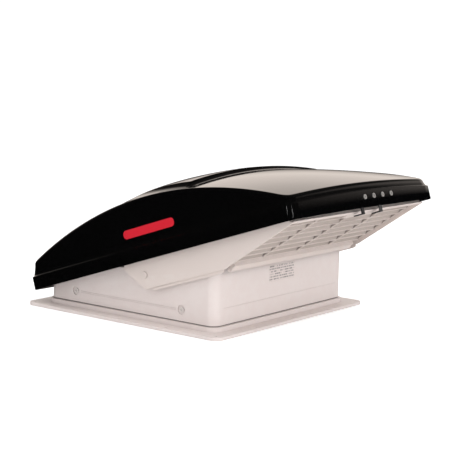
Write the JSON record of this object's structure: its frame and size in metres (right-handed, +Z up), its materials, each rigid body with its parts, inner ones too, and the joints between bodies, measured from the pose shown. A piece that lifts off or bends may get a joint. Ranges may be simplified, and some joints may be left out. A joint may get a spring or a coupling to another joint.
{
  "type": "roof ventilator fan",
  "caption": "Square roof exhaust fan with a domed black lid that tilts up at the front on lift arms and carries a folding louvred rain shield.",
  "frame": {"origin": "centre of the flange's underside, which is the centre of the roof opening", "axes": "+X towards the raised louvre end, +Z up out of the roof, Y across"},
  "size_m": [0.5452, 0.4128, 0.2447],
  "materials": {
    "housing_plastic": "fine satin moulded",
    "flange_plastic": "satin moulded",
    "shield_plastic": "satin moulded",
    "lid_plastic": "high gloss",
    "black_plastic": "satin moulded",
    "fan_plastic": "satin moulded",
    "button_plastic": "soft satin",
    "gasket_foam": "closed cell foam",
    "grommet_rubber": "smooth",
    "zinc_steel": "zinc plated",
    "screw_steel": "bright",
    "motor_paint": "satin",
    "screen_wire": "satin",
    "board": "solder mask",
    "badge_enamel": "enamel, blank",
    "label_film": "blank film"
  },
  "bodies": {
    "base": {"mounting_flange": "flange_plastic", "curb_gasket": "gasket_foam", "fan_housing": "housing_plastic", "housing_screws": "screw_steel", "rating_label": "label_film", "fan_deck": "fan_plastic", "fan_shroud": "fan_plastic", "deck_screws": "zinc_steel", "motor_bracket": "zinc_steel", "bracket_screws": "zinc_steel", "fan_motor": "motor_paint", "motor_cap": "black_plastic", "motor_screws": "zinc_steel", "lead_grommet": "grommet_rubber", "screen_frame": "housing_plastic", "screen_mesh": "screen_wire", "screen_clips": "housing_plastic", "control_panel": "housing_plastic", "control_board": "board", "hinge_bracket_left": "zinc_steel", "hinge_bracket_right": "zinc_steel", "hinge_pins": "screw_steel", "lift_gearbox": "fan_plastic", "gearbox_cover": "black_plastic", "shaft_block": "fan_plastic", "pivot_bolts": "shield_plastic"},
    "rotor": {"impeller": "fan_plastic", "motor_shaft": "screw_steel", "hub_nut": "screw_steel"},
    "lid": {"lid_shell": "lid_plastic", "lid_hinge_left": "black_plastic", "lid_hinge_right": "black_plastic", "cam_plate_left": "black_plastic", "cam_plate_right": "black_plastic", "lid_badges": "badge_enamel", "lid_front_screws": "screw_steel", "rail_hooks": "black_plastic"},
    "shield": {"shield_side_left": "shield_plastic", "shield_side_right": "shield_plastic", "shield_bar": "shield_plastic", "shield_rail": "shield_plastic", "louvre_grille": "shield_plastic"},
    "lift_arms": {"lift_shaft": "screw_steel", "lift_arm_left": "zinc_steel", "lift_arm_right": "zinc_steel", "slide_pins": "screw_steel"},
    "crank": {"crank_shaft": "screw_steel", "crank_knob": "black_plastic", "knob_screw": "screw_steel"},
    "power_key": {"power_button": "button_plastic"},
    "faster_key": {"faster_button": "button_plastic"},
    "slower_key": {"slower_button": "button_plastic"},
    "direction_key": {"direction_button": "button_plastic"},
    "auto_key": {"auto_button": "button_plastic"}
  },
  "joints": [
    {"name": "fan_spin", "type": "hinge", "parent": "base", "child": "rotor", "pos_m": [0, 0, 0.045], "axis": [0, 0, 1], "continuous": true},
    {"name": "lid_tilt", "type": "hinge", "parent": "base", "child": "lid", "pos_m": [-0.166, 0, 0.07], "axis": [0, 1, 0], "range_deg": [0, 18.05]},
    {"name": "shield_tilt", "type": "hinge", "parent": "base", "child": "shield", "pos_m": [0.0444, 0, 0.0792], "axis": [0, 1, 0], "range_deg": [0, 30.6]},
    {"name": "lift_swing", "type": "hinge", "parent": "base", "child": "lift_arms", "pos_m": [0.15, 0, 0.078], "axis": [0, 1, 0], "range_deg": [-30.1, 0]},
    {"name": "crank_turn", "type": "hinge", "parent": "base", "child": "crank", "pos_m": [0.128, -0.139, 0.006], "axis": [0, 0, 1], "range_deg": [0, 903]},
    {"name": "power_press", "type": "slide", "parent": "base", "child": "power_key", "axis": [0, 0, 1], "range_m": [0, 0.0012], "stiffness_N_per_m": 300, "springref_m": -0.001},
    {"name": "faster_press", "type": "slide", "parent": "base", "child": "faster_key", "axis": [0, 0, 1], "range_m": [0, 0.0012], "stiffness_N_per_m": 300, "springref_m": -0.001},
    {"name": "slower_press", "type": "slide", "parent": "base", "child": "slower_key", "axis": [0, 0, 1], "range_m": [0, 0.0012], "stiffness_N_per_m": 300, "springref_m": -0.001},
    {"name": "direction_press", "type": "slide", "parent": "base", "child": "direction_key", "axis": [0, 0, 1], "range_m": [0, 0.0012], "stiffness_N_per_m": 300, "springref_m": -0.001},
    {"name": "auto_press", "type": "slide", "parent": "base", "child": "auto_key", "axis": [0, 0, 1], "range_m": [0, 0.0012], "stiffness_N_per_m": 300, "springref_m": -0.001}
  ],
  "couplings": [
    {"joint": "shield_tilt", "follows": "lid_tilt", "ratio": 1.691},
    {"joint": "lift_swing", "follows": "lid_tilt", "ratio": -1.662},
    {"joint": "crank_turn", "follows": "lid_tilt", "ratio": 49.86}
  ]
}
